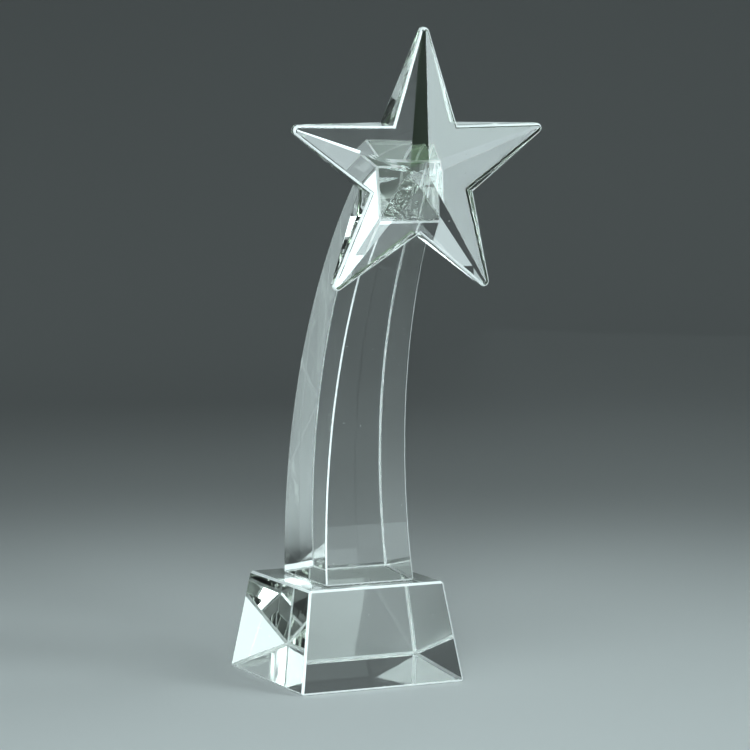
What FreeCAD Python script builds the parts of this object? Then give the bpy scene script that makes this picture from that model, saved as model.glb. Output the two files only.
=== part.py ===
"""Star trophy: a clear crystal base block, a bowed column and a faceted star, bonded together.

Millimetres. +Z is up, the front faces -Y, the origin is the middle of the base's underside.
"""
import FreeCAD, Part
import os
from math import atan, cos, pi, radians, sin, sqrt, tan

from FreeCAD import Matrix, Vector

# ---- base block: a square block whose four sides lean in ----
BASE_FOOT = 80.0            # side of the underside
BASE_TOP = 66.0             # side of the top
BASE_HEIGHT = 45.0
BASE_CHAMFER = 0.8

# ---- column: rectangular section, flat tapering sides, front and back ground to arcs.
# Each arc stands straight up at its crest and bows forward above and below it. ----
COLUMN_FOOT_WIDTH = 43.2    # along X, where it stands on the base
COLUMN_HEAD_WIDTH = 27.4    # along X, at the lower edge of the star's seat
COLUMN_DEPTH = 44.5         # along Y, from the crest of one arc to the crest of the other
FRONT_CREST = 40.0          # height of the front arc's crest over the column's foot
BACK_CREST = 29.5           # the same for the back arc
COLUMN_CHAMFER = 0.6

# ---- seat: the flat cut on the column's front that carries the star ----
SEAT_HEIGHT = 165.0         # of its lower edge over the column's foot
SEAT_REACH = 38.6           # of its lower edge in front of the front arc's crest
SEAT_LENGTH = 23.3          # from its lower edge up to the end face
END_FACE_SLOPE = 38.0       # degrees, the end face rises towards the back

# ---- star: five points, a low five-sided pyramid on each side ----
STAR_RADIUS = 67.0          # centre to where the edges of a point would meet
STAR_TIP_CUT = 5.0          # length ground off each point
STAR_THICKNESS = 25.0       # at the centre
STAR_TIP_WALL = 3.8         # thickness left at the blunted points
STAR_LEAN = 6.3             # degrees, top towards the front
STAR_RISE = 21.0            # of its back apex over the seat's lower edge, along the seat
STAR_CHAMFER = 1.2

# ---- adhesive ----
BOND_FILM = 0.3             # thickness of both films
BOND_ROUND = 2.0            # corner radius of both films

POINTS = 5
HALF_POINT = pi / POINTS    # angle from the ridge of a point to the notch beside it
UPRIGHT = 0.01              # a face whose normal rises less than this is a wall

FOOT_Z = BASE_HEIGHT + BOND_FILM
SEAT_Z = FOOT_Z + SEAT_HEIGHT
# radius of the front and back arcs: the front one reaches from its crest to the seat
BOW_RADIUS = ((SEAT_HEIGHT - FRONT_CREST) ** 2 + SEAT_REACH ** 2) / (2 * SEAT_REACH)


def face_of(points):
    return Part.Face(Part.makePolygon(points + points[:1]))


def placed(shape, origin, x_axis, y_axis, z_axis):
    """Shape drawn at the origin, moved so that its X, Y and Z run along the given axes."""
    turn = Matrix(x_axis.x, y_axis.x, z_axis.x, origin.x,
                  x_axis.y, y_axis.y, z_axis.y, origin.y,
                  x_axis.z, y_axis.z, z_axis.z, origin.z,
                  0, 0, 0, 1)
    moved = shape.copy()
    moved.Placement = FreeCAD.Placement(turn)
    return moved


# ---- base block ----
def make_base_block():
    def square(side, z):
        half = side / 2
        corners = [Vector(-half, -half, z), Vector(half, -half, z),
                   Vector(half, half, z), Vector(-half, half, z)]
        return Part.makePolygon(corners + corners[:1])

    block = Part.makeLoft([square(BASE_FOOT, 0), square(BASE_TOP, BASE_HEIGHT)], True, True)
    return block.makeChamfer(BASE_CHAMFER, block.Edges)


# ---- column ----
def bowed_y(crest_y, crest_height, z):
    """Y at height z of an arc with its crest at the given place."""
    rise = z - FOOT_Z - crest_height
    return crest_y - BOW_RADIUS + sqrt(BOW_RADIUS ** 2 - rise ** 2)


def front_y(z):
    return bowed_y(-COLUMN_DEPTH / 2, FRONT_CREST, z)


def back_y(z):
    return bowed_y(COLUMN_DEPTH / 2, BACK_CREST, z)


# slope of every facet against the star's middle plane, and lean of the seat that meets one
FACET_SLOPE = atan((STAR_THICKNESS - STAR_TIP_WALL) / 2
                   / ((STAR_RADIUS - STAR_TIP_CUT) * cos(HALF_POINT)))
SEAT_LEAN = FACET_SLOPE - radians(STAR_LEAN)

across = Vector(1, 0, 0)
seat_up = Vector(0, sin(SEAT_LEAN), cos(SEAT_LEAN))
seat_out = Vector(0, -cos(SEAT_LEAN), sin(SEAT_LEAN))
seat_foot = Vector(0, front_y(SEAT_Z), SEAT_Z)
seat_head = seat_foot + seat_up * SEAT_LENGTH


def end_face_back():
    """Where the end face, rising backwards from the seat's upper edge, meets the back arc."""
    centre_y, centre_z = COLUMN_DEPTH / 2 - BOW_RADIUS, FOOT_Z + BACK_CREST
    along_y, along_z = cos(radians(END_FACE_SLOPE)), sin(radians(END_FACE_SLOPE))
    off_y, off_z = seat_head.y - centre_y, seat_head.z - centre_z
    half_b = off_y * along_y + off_z * along_z
    reach = -half_b + sqrt(half_b ** 2 - (off_y ** 2 + off_z ** 2 - BOW_RADIUS ** 2))
    return seat_head + Vector(0, along_y, along_z) * reach


def make_column():
    end_back = end_face_back()

    def arc(y_at, z0, z1):
        return Part.Arc(*[Vector(0, y_at(z), z) for z in (z0, (z0 + z1) / 2, z1)]).toShape()

    def line(a, b):
        return Part.LineSegment(a, b).toShape()

    foot_front, foot_back = Vector(0, front_y(FOOT_Z), FOOT_Z), Vector(0, back_y(FOOT_Z), FOOT_Z)
    side_view = Part.Wire([arc(front_y, FOOT_Z, SEAT_Z), line(seat_foot, seat_head),
                           line(seat_head, end_back), arc(back_y, end_back.z, FOOT_Z),
                           line(foot_back, foot_front)])
    slab = Part.Face(side_view).extrude(across * 2 * COLUMN_FOOT_WIDTH)
    slab.translate(across * -COLUMN_FOOT_WIDTH)

    # front view: flat sides, drawn in to the head width at the seat
    taper = (COLUMN_FOOT_WIDTH - COLUMN_HEAD_WIDTH) / 2 / SEAT_HEIGHT
    foot_half = COLUMN_FOOT_WIDTH / 2
    end_half = foot_half - taper * (end_back.z - FOOT_Z)
    room = COLUMN_DEPTH + BOW_RADIUS
    front_view = face_of([Vector(-foot_half, -room, FOOT_Z), Vector(foot_half, -room, FOOT_Z),
                          Vector(end_half, -room, end_back.z), Vector(-end_half, -room, end_back.z)])
    column = slab.common(front_view.extrude(Vector(0, 2 * room, 0)))
    return column.makeChamfer(COLUMN_CHAMFER, column.Edges)


# ---- star, drawn flat in the XY plane with a point along +Y, then stood on the seat ----
def star_outline():
    tip_radius = STAR_RADIUS - STAR_TIP_CUT
    tip_half = STAR_TIP_CUT * tan(HALF_POINT / 2)
    notch_radius = STAR_RADIUS * cos(2 * HALF_POINT) / cos(HALF_POINT)
    outline = []
    for point in range(POINTS):
        ridge = pi / 2 - 2 * HALF_POINT * point
        notch = ridge - HALF_POINT
        outwards, sideways = Vector(cos(ridge), sin(ridge)), Vector(sin(ridge), -cos(ridge))
        outline += [outwards * tip_radius - sideways * tip_half,
                    outwards * tip_radius + sideways * tip_half,
                    Vector(cos(notch), sin(notch)) * notch_radius]
    return outline


def make_double_pyramid():
    """Pyramids front and back on one pentagon, whose corners lie beyond the star's points."""
    half = STAR_THICKNESS / 2
    corner_radius = half / tan(FACET_SLOPE) / cos(HALF_POINT)
    corners = [Vector(cos(a), sin(a)) * corner_radius for a in
               [pi / 2 + 2 * HALF_POINT * point for point in range(POINTS)]]
    sides = list(zip(corners, corners[1:] + corners[:1]))
    facets = [face_of([a, b, Vector(0, 0, half)]) for a, b in sides]
    facets += [face_of([b, a, Vector(0, 0, -half)]) for a, b in sides]
    return Part.makeSolid(Part.makeShell(facets))


def is_rim_edge(shape, edge):
    """True for an edge between a facet and a wall of the outline."""
    is_wall = [abs(face.normalAt(0, 0).z) < UPRIGHT
               for face in shape.ancestorsOfType(edge, Part.Face)]
    return is_wall.count(True) == 1


def make_star():
    slab = face_of(star_outline()).extrude(Vector(0, 0, STAR_THICKNESS))
    slab.translate(Vector(0, 0, -STAR_THICKNESS / 2))
    star = slab.common(make_double_pyramid())
    star = star.makeChamfer(STAR_CHAMFER, [e for e in star.Edges if is_rim_edge(star, e)])

    lean = radians(STAR_LEAN)
    up, forward = Vector(0, -sin(lean), cos(lean)), Vector(0, -cos(lean), -sin(lean))
    back_apex = seat_foot + seat_up * STAR_RISE + seat_out * BOND_FILM
    return placed(star, back_apex + forward * (STAR_THICKNESS / 2), across, up, forward)


# ---- adhesive films: they end where the column's chamfers begin ----
def rounded_film(outline_face):
    """Film on a flat outline in the XY plane, with its corners rounded."""
    inner = outline_face.makeOffset2D(-BOND_ROUND, 2)
    return inner.makeOffset2D(BOND_ROUND, 0).extrude(Vector(0, 0, BOND_FILM))


def rectangle(half_width, y0, y1):
    return face_of([Vector(-half_width, y0), Vector(half_width, y0),
                    Vector(half_width, y1), Vector(-half_width, y1)])


def make_base_bond():
    film = rounded_film(rectangle(COLUMN_FOOT_WIDTH / 2 - COLUMN_CHAMFER,
                                  front_y(FOOT_Z) + COLUMN_CHAMFER,
                                  back_y(FOOT_Z) - COLUMN_CHAMFER))
    film.translate(Vector(0, 0, BASE_HEIGHT))
    return film


def make_star_bond():
    """Film on the part of the seat that lies between the star's two lower back ridges."""
    spread = tan(HALF_POINT) * cos(FACET_SLOPE)
    between_ridges = face_of([Vector(0, STAR_RISE), Vector(-STAR_RISE * spread, 0),
                              Vector(STAR_RISE * spread, 0)])
    seat = rectangle(COLUMN_HEAD_WIDTH / 2 - COLUMN_CHAMFER, COLUMN_CHAMFER,
                     SEAT_LENGTH - COLUMN_CHAMFER)
    film = rounded_film(seat.common(between_ridges).Faces[0])
    return placed(film, seat_foot, across, seat_up, seat_out)


PIECES = {"base_block": make_base_block, "base_bond": make_base_bond, "column": make_column,
          "star_bond": make_star_bond, "star": make_star}

os.makedirs("parts", exist_ok=True)
for name, make in PIECES.items():
    shape = make()
    assert shape.isValid() and len(shape.Solids) == 1, f"{name} is not one sound solid"
    shape.Solids[0].exportStep(f"parts/{name}.step")
    print(f"{name}: {shape.Volume / 1000:.2f} cm3")
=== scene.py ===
from math import atan, cos, pi, radians, sin, sqrt, tan

import bmesh
import bpy
import numpy as np
from mathutils import Matrix, Vector


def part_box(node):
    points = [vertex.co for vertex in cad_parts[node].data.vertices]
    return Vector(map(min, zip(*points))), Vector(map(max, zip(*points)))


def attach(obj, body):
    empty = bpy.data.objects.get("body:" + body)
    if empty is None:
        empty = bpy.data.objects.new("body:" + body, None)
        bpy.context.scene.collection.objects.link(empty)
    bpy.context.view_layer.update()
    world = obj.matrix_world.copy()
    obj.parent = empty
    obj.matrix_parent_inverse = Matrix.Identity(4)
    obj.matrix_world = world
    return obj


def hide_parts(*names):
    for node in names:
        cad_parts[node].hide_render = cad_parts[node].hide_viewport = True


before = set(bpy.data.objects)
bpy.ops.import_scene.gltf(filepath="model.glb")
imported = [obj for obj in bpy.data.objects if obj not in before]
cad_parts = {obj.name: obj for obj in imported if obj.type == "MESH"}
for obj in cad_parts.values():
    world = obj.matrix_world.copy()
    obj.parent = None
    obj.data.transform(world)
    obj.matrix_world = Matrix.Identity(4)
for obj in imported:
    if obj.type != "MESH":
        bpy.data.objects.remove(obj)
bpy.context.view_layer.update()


# ---- base block --------------------------------------------------------------------------
# The foot of the trophy: one block of clear optical crystal, sawn square, its four sides
# ground to lean in, then polished. Every edge is broken with a narrow ground bevel.

BASE_FOOT, BASE_TOP = 0.080, 0.066
BASE_BEVEL = 0.0010
ARRIS = 0.00009              # what polishing takes off a corner that was ground sharp
CRYSTAL_IOR = 1.52
POLISHED_ROUGHNESS, SMUDGE_ROUGHNESS, GROUND_ROUGHNESS = 0.004, 0.05, 0.4
GROUND_AND_GLINT_WHITENESS = 0.75      # the share of its light that a ground edge scatters, and how strong the rounded rim's painted white highlight is
DUST_SIZE, DUST_SHARE, DUST_WHITENESS = 0.085, 0.18, 0.6
LAP_WAVE_HEIGHT, GRAIN_HEIGHT = 0.000012, 0.00004
DEPTH_TINT, DEPTH_DENSITY = (0.80, 0.86, 0.77, 1.0), 2.6


def node(tree, kind, **settings):
    """A node with its settings and, given as in_0, in_1 ..., its input values or links."""
    made = tree.nodes.new(kind)
    for key, value in settings.items():
        if key.startswith("in_"):
            name = key[3:]
            socket = made.inputs[int(name) if name.isdigit() else name]
            if isinstance(value, bpy.types.NodeSocket):
                tree.links.new(value, socket)
            else:
                socket.default_value = value
        else:
            setattr(made, key, value)
    return made


def maths(tree, operation, *values):
    """The output of one Math node."""
    inputs = {f"in_{i}": value for i, value in enumerate(values)}
    return node(tree, "ShaderNodeMath", operation=operation, **inputs).outputs[0]


def polished_crystal(name, bond_field, grain_seed):
    """Clear crystal with polishing marks, a few smudges, and ground bevels. bond_field adds the
    nodes that are 1 where a face is wetted by adhesive, and 0 elsewhere: there light goes
    straight through, because the adhesive has nearly the crystal's own index."""
    material = bpy.data.materials.new(name)
    material.use_nodes = True
    tree = material.node_tree
    surface = tree.nodes["Principled BSDF"]
    surface.inputs["Transmission Weight"].default_value = 1.0
    surface.inputs["Base Color"].default_value = (1.0, 1.0, 1.0, 1.0)
    place = node(tree, "ShaderNodeTexCoord").outputs["Object"]
    shifted = node(tree, "ShaderNodeMapping", in_Vector=place,
                   in_Location=(grain_seed, 2.3 * grain_seed, 0.7 * grain_seed)).outputs[0]

    # smudges left by handling: a few soft patches, and fine wiping marks inside them
    patches = node(tree, "ShaderNodeTexNoise", in_Vector=shifted, in_Scale=34.0, in_Detail=3.0)
    patch = node(tree, "ShaderNodeMapRange", in_Value=patches.outputs[0],
                 in_1=0.56, in_2=0.72, in_3=0.0, in_4=1.0).outputs[0]
    drawn_out = node(tree, "ShaderNodeMapping", in_Vector=shifted, in_Rotation=(0.5, 0.3, 0.9),
                     in_Scale=(900.0, 900.0, 90.0)).outputs[0]
    wiping = node(tree, "ShaderNodeTexNoise", in_Vector=drawn_out, in_Scale=1.0, in_Detail=2.0)
    smudge = maths(tree, "MULTIPLY", patch, wiping.outputs[0])
    # a few specks of dust
    cells = node(tree, "ShaderNodeTexVoronoi", in_Vector=shifted, in_Scale=380.0)
    near_centre = maths(tree, "LESS_THAN", cells.outputs["Distance"], DUST_SIZE)
    dusty_cell = maths(tree, "GREATER_THAN", cells.outputs["Color"], 1 - DUST_SHARE)
    dust = maths(tree, "MULTIPLY", near_centre, dusty_cell)
    # edges that were ground and left unpolished
    ground_edge = node(tree, "ShaderNodeAttribute", attribute_name="ground").outputs["Fac"]
    ground = maths(tree, "MAXIMUM", ground_edge, maths(tree, "MULTIPLY", dust, DUST_WHITENESS))
    # painted highlight: seen from outside, a rounded rim is painted white all along in place of the
    # glints its polished curve catches, but light already inside the crystal leaves it freely
    rounded_rim = node(tree, "ShaderNodeAttribute", attribute_name="rounded_rim").outputs["Fac"]
    from_inside = node(tree, "ShaderNodeNewGeometry").outputs["Backfacing"]
    painted_glint = maths(tree, "MULTIPLY", rounded_rim, maths(tree, "SUBTRACT", 1.0, from_inside))
    ground = maths(tree, "MAXIMUM", ground, painted_glint)
    polished_roughness = maths(tree, "MULTIPLY_ADD", smudge, SMUDGE_ROUGHNESS, POLISHED_ROUGHNESS)
    roughness = node(tree, "ShaderNodeMix", in_0=ground, in_2=polished_roughness,
                     in_3=GROUND_ROUGHNESS)
    tree.links.new(roughness.outputs[0], surface.inputs["Roughness"])
    # ground edges, dust and the rim's painted highlight send part of the light back as diffuse white
    clear = maths(tree, "MULTIPLY_ADD", ground, -GROUND_AND_GLINT_WHITENESS, 1.0)
    tree.links.new(clear, surface.inputs["Transmission Weight"])

    # the lap leaves a faint long wave in the faces, and a fine scratchy grain on the bevels
    wave = node(tree, "ShaderNodeTexNoise", in_Vector=shifted, in_Scale=38.0, in_Detail=1.0)
    waved = node(tree, "ShaderNodeBump", in_Height=wave.outputs[0], in_Strength=1.0,
                 in_Distance=LAP_WAVE_HEIGHT)
    grain = node(tree, "ShaderNodeTexNoise", in_Vector=shifted, in_Scale=2600.0, in_Detail=2.0)
    grain_height = maths(tree, "MULTIPLY", grain.outputs[0], ground)
    grained = node(tree, "ShaderNodeBump", in_Height=grain_height, in_Strength=1.0,
                   in_Distance=GRAIN_HEIGHT, in_Normal=waved.outputs[0])
    tree.links.new(grained.outputs[0], surface.inputs["Normal"])

    # the wetted part of a face doesn't bend or mirror light
    wetted = bond_field(tree, place)
    index = node(tree, "ShaderNodeMix", in_0=wetted, in_2=CRYSTAL_IOR, in_3=1.0)
    tree.links.new(index.outputs[0], surface.inputs["IOR"])

    # thick crystal is faintly green along its length
    depth = node(tree, "ShaderNodeVolumeAbsorption", in_Color=DEPTH_TINT, in_Density=DEPTH_DENSITY)
    tree.links.new(depth.outputs[0], tree.nodes["Material Output"].inputs["Volume"])
    return material


# A bond is where a thin film of adhesive joins two crystal faces. Its outline is straight along
# a few edges, with rounded corners, and wavers a little where the adhesive crept.
FILM_RIM = 0.0005            # how far in from its outline the film thins out
FILM_WAVER = ((5, 0.7, 0.00026), (13, 2.0, 0.00014))     # waves round the film, shift, size
EDGE_TRIES = 40              # steps in which a search for the outline closes in on it


class Bond:
    """The adhesive film named in the frame. Its sides are directions in the film's plane."""

    def __init__(self, node_name, normal, up, sides, rounding):
        points = [vertex.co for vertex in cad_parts[node_name].data.vertices]
        self.normal, self.up, self.across = normal, up, up.cross(normal)
        self.centre = sum(points, Vector()) / len(points)
        self.thickness = 2 * max((point - self.centre).dot(normal) for point in points)
        self.sides = [(side, max((point - self.centre).dot(side) for point in points))
                      for side in sides]
        self.rounding = rounding

    def outside(self, point):
        """How far a point in the plane is outside the outline, without its wavering."""
        total = None
        for side, reach in self.sides:
            past = (point - self.centre).dot(side) - reach
            if total is not None:
                near = max(self.rounding - abs(total - past), 0) / self.rounding
                past = max(total, past) + near ** 3 * self.rounding / 6
            total = past
        return total

    def edge(self, angle, inset):
        """The outline's point in one direction from the centre, drawn in by inset."""
        along = self.across * cos(angle) + self.up * sin(angle)
        waver = sum(size * sin(times * angle + shift) for times, shift, size in FILM_WAVER)
        reach = 0.0
        for _ in range(EDGE_TRIES):
            reach -= self.outside(self.centre + along * reach) + waver + inset
        return self.centre + along * reach

    def wetted(self, tree, place):
        """Shader nodes for outside(): 1 where a crystal face at the film is wetted, or 0."""
        from_centre = node(tree, "ShaderNodeVectorMath", operation="SUBTRACT", in_0=place,
                           in_1=self.centre).outputs[0]

        def along(direction):
            return node(tree, "ShaderNodeVectorMath", operation="DOT_PRODUCT", in_0=from_centre,
                        in_1=direction).outputs["Value"]

        total = None
        for side, reach in self.sides:
            past = maths(tree, "SUBTRACT", along(side), reach)
            total = past if total is None else maths(tree, "SMOOTH_MAX", total, past, self.rounding)
        angle = maths(tree, "ARCTAN2", along(self.up), along(self.across))
        for times, shift, size in FILM_WAVER:
            wave = maths(tree, "SINE", maths(tree, "MULTIPLY_ADD", angle, times, shift))
            total = maths(tree, "MULTIPLY_ADD", wave, size, total)
        inside = maths(tree, "LESS_THAN", total, -FILM_RIM)
        at_level = maths(tree, "COMPARE", along(self.normal), 0.0, self.thickness)
        return maths(tree, "MULTIPLY", inside, at_level)


UP, AHEAD, RIGHT = Vector((0, 0, 1)), Vector((0, 1, 0)), Vector((1, 0, 0))
base_bond = Bond("base_bond", UP, AHEAD, (RIGHT, -RIGHT, AHEAD, -AHEAD), rounding=0.005)


def plain_mesh(rough_object):
    """The object's mesh as its modifiers leave it. The object itself is removed."""
    graph = bpy.context.evaluated_depsgraph_get()
    mesh = bpy.data.meshes.new_from_object(rough_object.evaluated_get(graph))
    bpy.data.objects.remove(rough_object)
    return mesh


def link_piece(name, mesh):
    """A new object in the scene, at the origin, with its place in its mesh."""
    made = bpy.data.objects.new(name, mesh)
    bpy.context.scene.collection.objects.link(made)
    return made


def with_ground_edges(name, mesh, bevel):
    """Breaks every edge with a bevel that is marked as ground, softens the corners that the
    bevel leaves, and shades the piece flat across its corners and smooth along its curves."""
    for _ in ("polished", "ground"):
        mesh.materials.append(None)
    rough = link_piece("rough", mesh)
    edges = rough.modifiers.new("ground_edges", "BEVEL")
    edges.width, edges.segments, edges.offset_type = bevel, 1, "OFFSET"
    edges.limit_method, edges.angle_limit, edges.material = "ANGLE", radians(20), 1
    arris = rough.modifiers.new("arris", "BEVEL")
    arris.width, arris.segments, arris.offset_type = ARRIS, 2, "WIDTH"
    arris.limit_method, arris.angle_limit, arris.material = "ANGLE", radians(12), -1
    finished = plain_mesh(rough)
    marks = np.zeros(len(finished.polygons), np.int32)
    finished.polygons.foreach_get("material_index", marks)
    ground = finished.attributes.new("ground", "FLOAT", "FACE")
    ground.data.foreach_set("value", marks.astype(float))
    finished.polygons.foreach_set("material_index", np.zeros_like(marks))
    finished.materials.clear()
    finished.polygons.foreach_set("use_smooth", np.ones(len(marks), bool))
    finished.set_sharp_from_angle(angle=radians(8))
    return link_piece(name, finished)


def solid_mesh(name, vertices, faces):
    """A closed mesh with its faces turned outwards."""
    mesh = bpy.data.meshes.new(name)
    mesh.from_pydata(vertices, [], faces)
    build = bmesh.new()
    build.from_mesh(mesh)
    bmesh.ops.recalc_face_normals(build, faces=build.faces)
    build.to_mesh(mesh)
    build.free()
    return mesh


base_top_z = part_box("base_block")[1].z
corners = [(x * side / 2, y * side / 2, z) for side, z in ((BASE_FOOT, 0.0), (BASE_TOP, base_top_z))
           for x, y in ((-1, -1), (1, -1), (1, 1), (-1, 1))]
sides = [(i, (i + 1) % 4, 4 + (i + 1) % 4, 4 + i) for i in range(4)]
base_block = solid_mesh("base", corners, [(3, 2, 1, 0), (4, 5, 6, 7), *sides])
base = with_ground_edges("base_crystal", base_block, BASE_BEVEL)
base.data.materials.append(polished_crystal("base_polished_crystal", base_bond.wetted, 0.11))
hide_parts("base_block")
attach(base, "root")


# ---- base bond ---------------------------------------------------------------------------
# The film of clear UV-cured adhesive between the base block and the column's foot. It was
# squeezed out to a thin even layer, wavers along its edge, and holds a few tiny bubbles.

FILM_CLEARANCE = 0.00002
FILM_SHOULDER = 0.55         # its height a third of the way in from its edge, of its full height
ADHESIVE_IOR = 1.48
AROUND_FILM = 160


def adhesive_film(bond, name):
    """The film as a mesh: flat on both sides, thinning out to a fine edge at its rim."""
    build = bmesh.new()
    on_rim = build.faces.layers.float.new("rim")
    half = bond.thickness / 2 - FILM_CLEARANCE
    angles = [2 * pi * k / AROUND_FILM for k in range(AROUND_FILM)]
    rings = [[build.verts.new(bond.edge(angle, inset) + bond.normal * height) for angle in angles]
             for inset, height in ((FILM_RIM, half), (FILM_RIM / 3, half * FILM_SHOULDER),
                                   (0.0, 0.0), (FILM_RIM / 3, -half * FILM_SHOULDER),
                                   (FILM_RIM, -half))]
    for upper, lower in zip(rings, rings[1:]):
        for k in range(AROUND_FILM):
            after = (k + 1) % AROUND_FILM
            face = build.faces.new((upper[k], lower[k], lower[after], upper[after]))
            face[on_rim], face.smooth = 1.0, True
    build.faces.new(rings[0])
    build.faces.new(rings[-1])
    bmesh.ops.recalc_face_normals(build, faces=build.faces)
    mesh = bpy.data.meshes.new(name)
    build.to_mesh(mesh)
    build.free()
    return link_piece(name, mesh)


def cured_adhesive(name):
    """Water-clear where it wets the crystal, so light goes straight on, and glossy at its rim."""
    material = bpy.data.materials.new(name)
    material.use_nodes = True
    tree = material.node_tree
    surface = tree.nodes["Principled BSDF"]
    surface.inputs["Transmission Weight"].default_value = 1.0
    place = node(tree, "ShaderNodeTexCoord").outputs["Object"]
    rim = node(tree, "ShaderNodeAttribute", attribute_name="rim").outputs["Fac"]
    index = node(tree, "ShaderNodeMix", in_0=rim, in_2=1.0, in_3=ADHESIVE_IOR)
    tree.links.new(index.outputs[0], surface.inputs["IOR"])
    creep = node(tree, "ShaderNodeTexNoise", in_Vector=place, in_Scale=900.0, in_Detail=3.0)
    roughness = maths(tree, "MULTIPLY", maths(tree, "MULTIPLY", creep.outputs[0], 0.5), rim)
    tree.links.new(roughness, surface.inputs["Roughness"])
    cloud = node(tree, "ShaderNodeTexNoise", in_Vector=place, in_Scale=160.0, in_Detail=2.0)
    tint = node(tree, "ShaderNodeValToRGB", in_Fac=cloud.outputs[0])
    tint.color_ramp.elements[0].position, tint.color_ramp.elements[1].position = 0.35, 0.65
    tint.color_ramp.elements[0].color = (0.945, 0.97, 0.935, 1)
    tint.color_ramp.elements[1].color = (0.97, 0.985, 0.965, 1)
    tree.links.new(tint.outputs[0], surface.inputs["Base Color"])
    return material


def new_tree(name, inputs):
    """An empty Geometry Nodes tree with named inputs, and its input sockets."""
    tree = bpy.data.node_groups.new(name, "GeometryNodeTree")
    for label, kind in (("Geometry", "NodeSocketGeometry"), *inputs):
        tree.interface.new_socket(name=label, in_out="INPUT", socket_type=kind)
    tree.interface.new_socket(name="Geometry", in_out="OUTPUT", socket_type="NodeSocketGeometry")
    return tree, tree.nodes.new("NodeGroupInput").outputs


def run_tree(name, tree, values, mesh=None):
    """Runs a node tree on a mesh with the named input values, and returns the plain mesh."""
    carrier = link_piece(name, mesh or bpy.data.meshes.new(name))
    modifier = carrier.modifiers.new(name, "NODES")
    modifier.node_group = tree
    for item in tree.interface.items_tree:
        if item.in_out == "INPUT" and item.name in values:
            modifier[item.identifier] = values[item.name]
    return plain_mesh(carrier)


CROWD_FADE = 0.007           # the bubbles reach their full number over this distance
BUBBLE_FLATNESS = 0.8        # a bubble's height, of the film's


def bubble_tree():
    """Scatters flattened bubbles over a film, most of them towards its crowded side."""
    tree, given = new_tree("bubbles_in_film", [
        ("Density", "NodeSocketFloat"), ("Smallest", "NodeSocketFloat"),
        ("Largest", "NodeSocketFloat"), ("Flatness", "NodeSocketFloat"),
        ("Crowded Side", "NodeSocketVector"), ("Crowded From", "NodeSocketFloat"),
        ("Seed", "NodeSocketInt"), ("Material", "NodeSocketMaterial")])
    place = tree.nodes.new("GeometryNodeInputPosition").outputs[0]
    towards = node(tree, "ShaderNodeVectorMath", operation="DOT_PRODUCT", in_0=place,
                   in_1=given["Crowded Side"]).outputs["Value"]
    crowd = node(tree, "ShaderNodeMapRange", in_Value=towards, in_1=given["Crowded From"],
                 in_3=0.06, in_4=1.0)
    tree.links.new(maths(tree, "ADD", given["Crowded From"], CROWD_FADE), crowd.inputs[2])
    clusters = node(tree, "ShaderNodeTexNoise", in_Vector=place, in_Scale=300.0).outputs[0]
    clustered = node(tree, "ShaderNodeMapRange", in_Value=clusters, in_1=0.34, in_2=0.56).outputs[0]
    density = maths(tree, "MULTIPLY", maths(tree, "MULTIPLY", crowd.outputs[0], clustered),
                    given["Density"])
    scatter = node(tree, "GeometryNodeDistributePointsOnFaces", in_Mesh=given["Geometry"],
                   in_Density=density, in_Seed=given["Seed"])
    draw = node(tree, "FunctionNodeRandomValue", data_type="FLOAT", in_Seed=given["Seed"])
    tree.links.new(given["Smallest"], draw.inputs[2])
    tree.links.new(given["Largest"], draw.inputs[3])
    flat = node(tree, "ShaderNodeCombineXYZ", in_0=draw.outputs[1], in_1=draw.outputs[1],
                in_2=given["Flatness"]).outputs[0]
    ball = node(tree, "GeometryNodeMeshIcoSphere", in_Radius=1.0, in_Subdivisions=2).outputs[0]
    smooth = node(tree, "GeometryNodeSetShadeSmooth", in_Geometry=ball).outputs[0]
    placed = node(tree, "GeometryNodeInstanceOnPoints", in_Points=scatter.outputs["Points"],
                  in_Instance=smooth, in_Rotation=scatter.outputs["Rotation"], in_Scale=flat)
    real = node(tree, "GeometryNodeRealizeInstances", in_Geometry=placed.outputs[0]).outputs[0]
    dressed = node(tree, "GeometryNodeSetMaterial", in_Geometry=real,
                   in_Material=given["Material"]).outputs[0]
    tree.links.new(dressed, tree.nodes.new("NodeGroupOutput").inputs[0])
    return tree


def trapped_air():
    """Air seen from inside a clear solid: the index is air's over the solid's."""
    material = bpy.data.materials.new("trapped_air")
    material.use_nodes = True
    tree = material.node_tree
    tree.nodes.remove(tree.nodes["Principled BSDF"])
    place = node(tree, "ShaderNodeTexCoord").outputs["Object"]
    skin = node(tree, "ShaderNodeTexNoise", in_Vector=place, in_Scale=2000.0)
    roughness = node(tree, "ShaderNodeMapRange", in_Value=skin.outputs[0], in_3=0.0, in_4=0.12)
    air = node(tree, "ShaderNodeBsdfGlass", in_Color=(1, 1, 1, 1), in_IOR=1 / CRYSTAL_IOR,
               in_Roughness=roughness.outputs[0])
    tree.links.new(air.outputs[0], tree.nodes["Material Output"].inputs["Surface"])
    return material


bubbles_in_film, air = bubble_tree(), trapped_air()


def bubbles(bond, name, density, smallest, largest, crowded_side, crowded_from, seed):
    """The bubbles in one film, spread over its flat part."""
    middle = bpy.data.meshes.new(name)
    flat_edge = [bond.edge(2 * pi * k / AROUND_FILM, FILM_RIM + largest) for k in range(AROUND_FILM)]
    middle.from_pydata(flat_edge, [], [tuple(range(AROUND_FILM))])
    mesh = run_tree(name, bubbles_in_film, {
        "Density": density, "Smallest": smallest, "Largest": largest,
        "Flatness": BUBBLE_FLATNESS * bond.thickness / 2, "Crowded Side": crowded_side,
        "Crowded From": bond.centre.dot(crowded_side) + crowded_from, "Seed": seed,
        "Material": air}, middle)
    made = link_piece(name, mesh)
    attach(made, "root")


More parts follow.
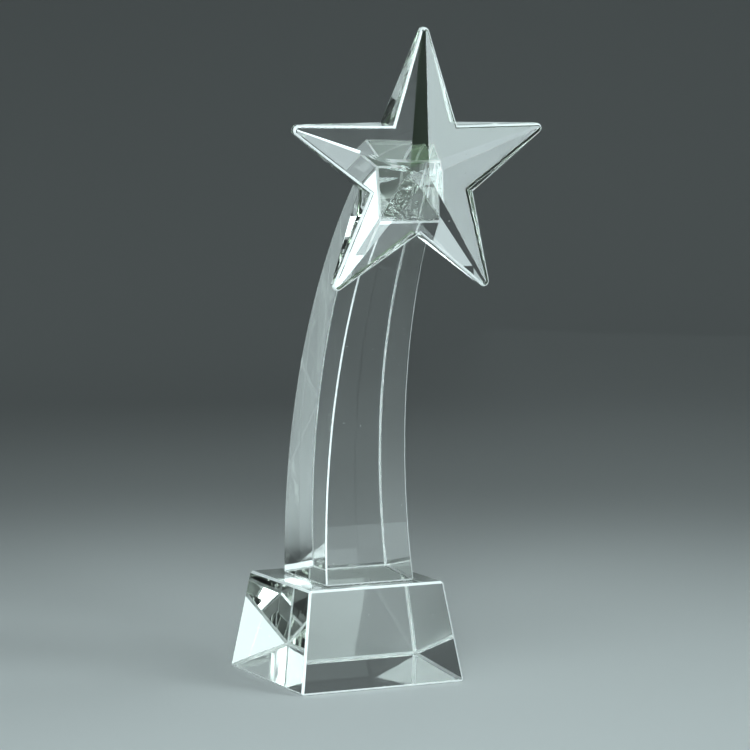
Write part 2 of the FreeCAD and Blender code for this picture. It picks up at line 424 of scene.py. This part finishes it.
adhesive = cured_adhesive("cured_clear_adhesive")
base_film = adhesive_film(base_bond, "base_adhesive")
base_film.data.materials.append(adhesive)
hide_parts("base_bond")
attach(base_film, "root")
bubbles(base_bond, "base_adhesive_bubbles", density=6e4, smallest=0.00012, largest=0.00032,
        crowded_side=-AHEAD, crowded_from=0.012, seed=4)


# ---- column ------------------------------------------------------------------------------
# The upright: one bar of the same crystal, its flat sides drawn in towards the top, its
# front and back ground to arcs on a drum. A flat seat for the star is cut near the top.

COLUMN_FOOT_WIDTH, COLUMN_HEAD_WIDTH = 0.0432, 0.0274
COLUMN_DEPTH = 0.0445
FRONT_CREST, BACK_CREST = 0.040, 0.0295
SEAT_HEIGHT, SEAT_REACH, SEAT_LENGTH = 0.165, 0.0386, 0.0233
END_FACE_SLOPE = radians(38)
COLUMN_BEVEL = 0.0006
ARC_STEPS = 90

# the star's own sizes set how the seat leans, so they stand here
STAR_RADIUS, STAR_TIP_CUT = 0.067, 0.005
STAR_HALF_THICKNESS, STAR_HALF_TIP_WALL = 0.0125, 0.0019
STAR_LEAN = radians(6.3)
HALF_POINT = pi / 5
FACET_SLOPE = atan((STAR_HALF_THICKNESS - STAR_HALF_TIP_WALL)
                   / ((STAR_RADIUS - STAR_TIP_CUT) * cos(HALF_POINT)))
SEAT_LEAN = FACET_SLOPE - STAR_LEAN

foot_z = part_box("column")[0].z
seat_z = foot_z + SEAT_HEIGHT
bow_radius = ((SEAT_HEIGHT - FRONT_CREST) ** 2 + SEAT_REACH ** 2) / (2 * SEAT_REACH)


def bowed_y(crest_y, crest_height, z):
    return crest_y - bow_radius + sqrt(bow_radius ** 2 - (z - foot_z - crest_height) ** 2)


def front_y(z):
    return bowed_y(-COLUMN_DEPTH / 2, FRONT_CREST, z)


def back_y(z):
    return bowed_y(COLUMN_DEPTH / 2, BACK_CREST, z)


seat_up = Vector((0, sin(SEAT_LEAN), cos(SEAT_LEAN)))
seat_out = Vector((0, -cos(SEAT_LEAN), sin(SEAT_LEAN)))
seat_foot = Vector((0, front_y(seat_z), seat_z))
seat_head = seat_foot + seat_up * SEAT_LENGTH


ridge_spread = atan(tan(HALF_POINT) * cos(FACET_SLOPE))
beside_ridge = RIGHT * cos(ridge_spread) + seat_up * sin(ridge_spread)
beside_other_ridge = seat_up * sin(ridge_spread) - RIGHT * cos(ridge_spread)
star_bond = Bond("star_bond", seat_out, seat_up, (beside_ridge, beside_other_ridge, -seat_up),
                 rounding=0.007)


def wetted_at_both_ends(tree, place):
    return maths(tree, "MAXIMUM", base_bond.wetted(tree, place), star_bond.wetted(tree, place))


def end_face_back():
    """Where the end face, rising backwards from the seat's upper edge, meets the back arc."""
    off = seat_head - Vector((0, COLUMN_DEPTH / 2 - bow_radius, foot_z + BACK_CREST))
    along = Vector((0, cos(END_FACE_SLOPE), sin(END_FACE_SLOPE)))
    reach = -off.dot(along) + sqrt(off.dot(along) ** 2 - off.length_squared + bow_radius ** 2)
    return seat_head + along * reach


def column_half_width(z):
    taper = (COLUMN_FOOT_WIDTH - COLUMN_HEAD_WIDTH) / 2 / SEAT_HEIGHT
    return COLUMN_FOOT_WIDTH / 2 - taper * (z - foot_z)


end_back = end_face_back()
steps = [i / ARC_STEPS for i in range(ARC_STEPS + 1)]
side_view = [(front_y(z), z) for z in (foot_z + (seat_z - foot_z) * t for t in steps)]
side_view += [(seat_head.y, seat_head.z)]
side_view += [(back_y(z), z) for z in (end_back.z + (foot_z - end_back.z) * t for t in steps)]
count = len(side_view)
flanks = [(hand * column_half_width(z), y, z) for hand in (-1, 1) for y, z in side_view]
around = [(i, (i + 1) % count, count + (i + 1) % count, count + i) for i in range(count)]
column_faces = [tuple(range(count)), tuple(range(2 * count - 1, count - 1, -1)), *around]
column = with_ground_edges("column_crystal", solid_mesh("column", flanks, column_faces), COLUMN_BEVEL)
column.data.materials.append(polished_crystal("column_polished_crystal", wetted_at_both_ends, 0.53))
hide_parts("column")
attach(column, "root")


# ---- star bond ---------------------------------------------------------------------------
# The film of the same adhesive between the seat and the star's lower back facet. It filled
# the three-cornered part of the facet that lies on the seat, and trapped bubbles at one side.

star_film = adhesive_film(star_bond, "star_adhesive")
star_film.data.materials.append(adhesive)
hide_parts("star_bond")
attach(star_film, "root")
lower_left = -(RIGHT * 0.8 + seat_up * 0.6)
bubbles(star_bond, "star_adhesive_bubbles", density=4.5e6, smallest=0.00020, largest=0.00055,
        crowded_side=lower_left, crowded_from=-0.0015, seed=11)
bubbles(star_bond, "star_adhesive_large_bubbles", density=1.1e5, smallest=0.0007, largest=0.0012,
        crowded_side=seat_up, crowded_from=0.001, seed=5)


# ---- star --------------------------------------------------------------------------------
# The star: a thick crystal plate, sawn to five points, each side ground to five facets that
# meet in the middle, so that a ridge runs down every point. The points are blunted.

STAR_RISE = 0.021            # of its back apex over the seat's lower edge, along the seat
STAR_EDGE_ROUND = 0.0015     # the rim is not chamfered flat but rounded over
ROUND_STEPS = 5
POINTS = 5
TIP_STEPS = 8                # a point is blunted to an arc, with the ridge at its middle
TIP_SWEEP = pi / 2 - HALF_POINT / 2
AROUND = (TIP_STEPS + 2) * POINTS
STAR_TIP_ROUND = STAR_TIP_CUT / (1 / cos(TIP_SWEEP) - 1)


def face_mean(tree, value):
    """A vertex value averaged over each face."""
    return node(tree, "GeometryNodeFieldOnDomain", data_type="FLOAT", domain="FACE",
                in_0=value).outputs[0]


def star_tree():
    """Lays a grid round the star, in rings from the front apex over the rim to the back apex.
    Every vertex works out its place from its ring and its place in the ring."""
    tree, given = new_tree("five_pointed_star", [
        ("Radius", "NodeSocketFloat"), ("Tip Round", "NodeSocketFloat"),
        ("Half Thickness", "NodeSocketFloat"), ("Facet Slope", "NodeSocketFloat"),
        ("Edge Round", "NodeSocketFloat"), ("Lean", "NodeSocketFloat"),
        ("Material", "NodeSocketMaterial")])

    def m(operation, *values):
        return maths(tree, operation, *values)

    def pick(condition, no, yes):
        return node(tree, "GeometryNodeSwitch", input_type="FLOAT", in_Switch=condition,
                    in_False=no, in_True=yes).outputs[0]

    def equal(value, number):
        return m("COMPARE", value, number, 0.1)

    rings = 2 * ROUND_STEPS + 4
    grid = node(tree, "GeometryNodeMeshGrid")
    grid.inputs["Vertices X"].default_value = rings
    grid.inputs["Vertices Y"].default_value = AROUND + 1
    index = tree.nodes.new("GeometryNodeInputIndex").outputs[0]
    ring = m("FLOOR", m("DIVIDE", m("ADD", index, 0.5), AROUND + 1.0))
    place = m("SUBTRACT", index, m("MULTIPLY", ring, AROUND + 1.0))
    point = m("FLOOR", m("DIVIDE", m("ADD", place, 0.5), TIP_STEPS + 2.0))
    corner = m("SUBTRACT", place, m("MULTIPLY", point, TIP_STEPS + 2.0))
    middle_ring = (rings - 1) / 2
    from_wall = m("SUBTRACT", m("ABSOLUTE", m("SUBTRACT", ring, middle_ring)), 0.5)
    at_apex = equal(from_wall, ROUND_STEPS + 1.0)

    # each ring of the rounded edge is the outline drawn in a little, and a star again
    slope = given["Facet Slope"]
    rounded = m("DIVIDE", m("MINIMUM", from_wall, ROUND_STEPS), ROUND_STEPS)
    turned_over = m("MULTIPLY", rounded, m("SUBTRACT", pi / 2, slope))
    drawn_in = m("MULTIPLY", given["Edge Round"], m("SUBTRACT", 1.0, m("COSINE", turned_over)))
    dropped = m("SUBTRACT", m("DIVIDE", 1.0, m("COSINE", slope)), m("SINE", turned_over))
    dropped = m("SUBTRACT", dropped, m("MULTIPLY", m("COSINE", turned_over), m("TANGENT", slope)))
    dropped = m("MULTIPLY", dropped, given["Edge Round"])
    radius = m("SUBTRACT", given["Radius"], m("DIVIDE", drawn_in, cos(2 * HALF_POINT)))
    notch = m("MULTIPLY", radius, cos(2 * HALF_POINT) / cos(HALF_POINT))
    tip_round = m("SUBTRACT", given["Tip Round"], drawn_in)
    tip_centre = m("SUBTRACT", given["Radius"], m("DIVIDE", given["Tip Round"], cos(TIP_SWEEP)))
    swept = m("MULTIPLY", m("SUBTRACT", corner, TIP_STEPS / 2), 2 * TIP_SWEEP / TIP_STEPS)
    in_notch = equal(corner, TIP_STEPS + 1.0)
    x = pick(in_notch, m("MULTIPLY", tip_round, m("SINE", swept)), m("MULTIPLY", notch, sin(HALF_POINT)))
    y = pick(in_notch, m("ADD", tip_centre, m("MULTIPLY", tip_round, m("COSINE", swept))),
             m("MULTIPLY", notch, cos(HALF_POINT)))
    down_facet = m("ADD", m("MULTIPLY", m("ABSOLUTE", x), sin(HALF_POINT)),
                   m("MULTIPLY", y, cos(HALF_POINT)))
    height = m("SUBTRACT", given["Half Thickness"], m("MULTIPLY", down_facet, m("TANGENT", slope)))
    height = m("SUBTRACT", height, dropped)
    height = pick(at_apex, height, given["Half Thickness"])
    height = m("MULTIPLY", height, m("SIGN", m("SUBTRACT", middle_ring, ring)))
    spread = m("SUBTRACT", 1.0, at_apex)
    flat = node(tree, "ShaderNodeCombineXYZ", in_0=m("MULTIPLY", x, spread),
                in_1=m("MULTIPLY", y, spread), in_2=height).outputs[0]
    turned = node(tree, "ShaderNodeVectorRotate", rotation_type="Z_AXIS", in_Vector=flat,
                  in_Angle=m("MULTIPLY", point, -2 * HALF_POINT)).outputs[0]

    shaped = node(tree, "GeometryNodeSetPosition", in_Geometry=grid.outputs["Mesh"],
                  in_Position=turned).outputs[0]
    on_edge = m("COMPARE", face_mean(tree, from_wall), ROUND_STEPS / 2, ROUND_STEPS / 2 - 0.25)
    marked = node(tree, "GeometryNodeStoreNamedAttribute", data_type="FLOAT", domain="FACE",
                  in_Geometry=shaped, in_Name="rounded_rim", in_Value=on_edge).outputs[0]
    closed = node(tree, "GeometryNodeMergeByDistance", in_Geometry=marked, in_Distance=1e-6).outputs[0]
    turn = node(tree, "ShaderNodeCombineXYZ", in_0=m("ADD", given["Lean"], pi / 2)).outputs[0]
    stood = node(tree, "GeometryNodeTransform", in_Geometry=closed, in_Rotation=turn).outputs[0]
    real = node(tree, "GeometryNodeRealizeInstances", in_Geometry=stood).outputs[0]
    smooth = node(tree, "GeometryNodeSetShadeSmooth", in_Geometry=real, in_Selection=on_edge).outputs[0]
    dressed = node(tree, "GeometryNodeSetMaterial", in_Geometry=smooth,
                   in_Material=given["Material"]).outputs[0]
    tree.links.new(dressed, tree.nodes.new("NodeGroupOutput").inputs[0])
    return tree


star_material = polished_crystal("star_polished_crystal", star_bond.wetted, 0.87)
star_mesh = run_tree("star", star_tree(), {
    "Radius": STAR_RADIUS, "Tip Round": STAR_TIP_ROUND, "Half Thickness": STAR_HALF_THICKNESS,
    "Facet Slope": FACET_SLOPE, "Edge Round": STAR_EDGE_ROUND, "Lean": STAR_LEAN,
    "Material": star_material})
star_forward = Vector((0, -cos(STAR_LEAN), -sin(STAR_LEAN)))
back_apex = seat_foot + seat_up * STAR_RISE + seat_out * star_bond.thickness
star_mesh.transform(Matrix.Translation(back_apex + star_forward * STAR_HALF_THICKNESS))
build = bmesh.new()
build.from_mesh(star_mesh)
bmesh.ops.recalc_face_normals(build, faces=build.faces)
build.to_mesh(star_mesh)
build.free()
star = link_piece("star_crystal", star_mesh)
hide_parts("star")
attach(star, "root")


# ---- floor, lights and camera --------------------------------------------------------------
# The studio: a sheet of pale paper that turns up into a backdrop far behind, and soft boxes
# all round, each of them filling the patch of the room that some of the facets mirror.

FLOOR_GAP = 0.0004           # the base rests on the paper's nap, with air between
FLOOR_FLAT, FLOOR_REACH, FLOOR_RISE = 1.2, 3.0, 2.2


def dish(flat_radius, rim_radius, rim_height, around=96, rings=24):
    """A level floor that turns up into a wall a long way off, all round."""
    profile = [(flat_radius * (i + 1) / 6, 0.0) for i in range(6)]
    profile += [(flat_radius + (rim_radius - flat_radius) * sin(pi / 2 * i / rings),
                 rim_height * (1 - cos(pi / 2 * i / rings))) for i in range(1, rings + 1)]
    points = [(0.0, 0.0, 0.0)]
    points += [(r * cos(2 * pi * k / around), r * sin(2 * pi * k / around), z)
               for r, z in profile for k in range(around)]
    faces = [(0, 1 + k, 1 + (k + 1) % around) for k in range(around)]
    for ring in range(len(profile) - 1):
        a, b = 1 + ring * around, 1 + (ring + 1) * around
        faces += [(a + k, b + k, b + (k + 1) % around, a + (k + 1) % around) for k in range(around)]
    mesh = bpy.data.meshes.new("floor")
    mesh.from_pydata([(x, y, z - FLOOR_GAP) for x, y, z in points], [], faces)
    mesh.polygons.foreach_set("use_smooth", [True] * len(faces))
    return link_piece("floor", mesh)


floor = dish(FLOOR_FLAT, FLOOR_REACH, FLOOR_RISE)
paper = bpy.data.materials.new("pale_paper_painted_falloff")
paper.use_nodes = True
paper_tree = paper.node_tree
paper_place = node(paper_tree, "ShaderNodeTexCoord").outputs["Object"]
distance = node(paper_tree, "ShaderNodeVectorMath", operation="LENGTH",
                in_0=paper_place).outputs["Value"]
# painted shade: the paper's colour darkens from 0.68 near the trophy to 0.40 far off, standing in for
# light that falls away with distance
painted_falloff = node(paper_tree, "ShaderNodeMapRange", interpolation_type="SMOOTHERSTEP", in_Value=distance,
             in_1=0.15, in_2=0.75, in_3=0.68, in_4=0.40).outputs[0]
paper_tree.links.new(painted_falloff, paper_tree.nodes["Principled BSDF"].inputs["Base Color"])
paper_tree.nodes["Principled BSDF"].inputs["Roughness"].default_value = 0.85
floor.data.materials.append(paper)


PANEL_DISTANCE = 1.5
PANEL_AIM = Vector((0, 0, 0.15))
DAYLIGHT = (0.82, 0.985, 1.0)


def soft_panel(name, from_azimuth, to_azimuth, from_elevation, to_elevation, beam, brightness):
    """A soft box that faces the trophy and fills a patch of the room as seen from it, in
    degrees. Azimuth 0 is behind the trophy, and 90 is on the right of whoever faces the star."""
    azimuth, elevation = [radians(sum(pair) / 2) for pair in ((from_azimuth, to_azimuth),
                                                              (from_elevation, to_elevation))]
    outwards = Vector((sin(azimuth) * cos(elevation), cos(azimuth) * cos(elevation), sin(elevation)))
    lamp = bpy.data.lights.new(name, "AREA")
    lamp.shape, lamp.color = "RECTANGLE", DAYLIGHT
    half_width = radians((to_azimuth - from_azimuth) / 2)
    half_height = radians((to_elevation - from_elevation) / 2)
    lamp.size = 2 * PANEL_DISTANCE * cos(elevation) * tan(half_width)
    lamp.size_y = 2 * PANEL_DISTANCE * tan(half_height)
    lamp.energy = pi * lamp.size * lamp.size_y * brightness
    lamp.spread = radians(beam)
    panel = bpy.data.objects.new(name, lamp)
    panel.location = PANEL_AIM + outwards * PANEL_DISTANCE
    panel.rotation_euler = (-outwards).to_track_quat("-Z", "Y").to_euler()
    panel.visible_camera = False
    bpy.context.scene.collection.objects.link(panel)


OPEN, GRIDDED = 180, 70      # a grid keeps a soft box's light off the floor and backdrop
# These patches and brightnesses came from a least-squares solver, which fitted them to tones
# sampled for the facets. They were then rounded, and a few were changed.
soft_panel("overhead_panel", -24, 24, 66, 114, OPEN, 1.05)
soft_panel("top_right_panel", 90, 135, 46, 66, OPEN, 2.2)
soft_panel("top_front_panel", 180, 225, 46, 66, OPEN, 2.7)
soft_panel("front_right_panel", 135, 150, 3, 12, GRIDDED, 1.65)
soft_panel("front_panel", 195, 225, 0, 12, GRIDDED, 2.1)
soft_panel("front_left_panel", 225, 240, 3, 12, GRIDDED, 1.15)
soft_panel("left_low_panel", 240, 255, -5.6, 3, GRIDDED, 2.9)
soft_panel("upper_right_panel", 144, 162, 12, 26, GRIDDED, 0.21)
soft_panel("upper_middle_panel", 162, 180, 12, 26, GRIDDED, 1.2)
soft_panel("upper_left_panel", 198, 216, 12, 26, GRIDDED, 2.2)
soft_panel("high_right_panel", 129, 154, 26, 46, GRIDDED, 0.62)
soft_panel("right_strip_panel", 150, 165, -5.6, 3, GRIDDED, 0.18)
soft_panel("back_low_panel", 30, 45, -5.6, 3, GRIDDED, 0.24)
soft_panel("back_middle_panel", 30, 45, 3, 12, GRIDDED, 0.08)
soft_panel("back_high_panel", 18, 36, 12, 26, GRIDDED, 0.10)

world = bpy.data.worlds.new("studio")
world.use_nodes = True
world.node_tree.nodes["Background"].inputs[0].default_value = (0.028, 0.032, 0.032, 1)
bpy.context.scene.world = world

VIEW_AZIMUTH, VIEW_ELEVATION, VIEW_DISTANCE = radians(-25.6), radians(5.5), 1.473
VIEW_HEIGHT, VIEW_ASIDE = 0.1363, 0.0132
back = Vector((sin(VIEW_AZIMUTH) * cos(VIEW_ELEVATION), -cos(VIEW_AZIMUTH) * cos(VIEW_ELEVATION),
               sin(VIEW_ELEVATION)))
right = Vector((cos(VIEW_AZIMUTH), sin(VIEW_AZIMUTH), 0))
lens = bpy.data.cameras.new("camera")
lens.lens, lens.sensor_width = 157, 36
camera = bpy.data.objects.new("camera", lens)
camera.location = right * VIEW_ASIDE + UP * VIEW_HEIGHT + back * VIEW_DISTANCE
camera.rotation_mode = "QUATERNION"
camera.rotation_quaternion = (-back).to_track_quat("-Z", "Y")
bpy.context.scene.collection.objects.link(camera)
bpy.context.scene.camera = camera

scene = bpy.context.scene
scene.view_settings.view_transform = "Standard"
scene.cycles.max_bounces = 32
scene.cycles.transmission_bounces = 32
scene.cycles.glossy_bounces = 16
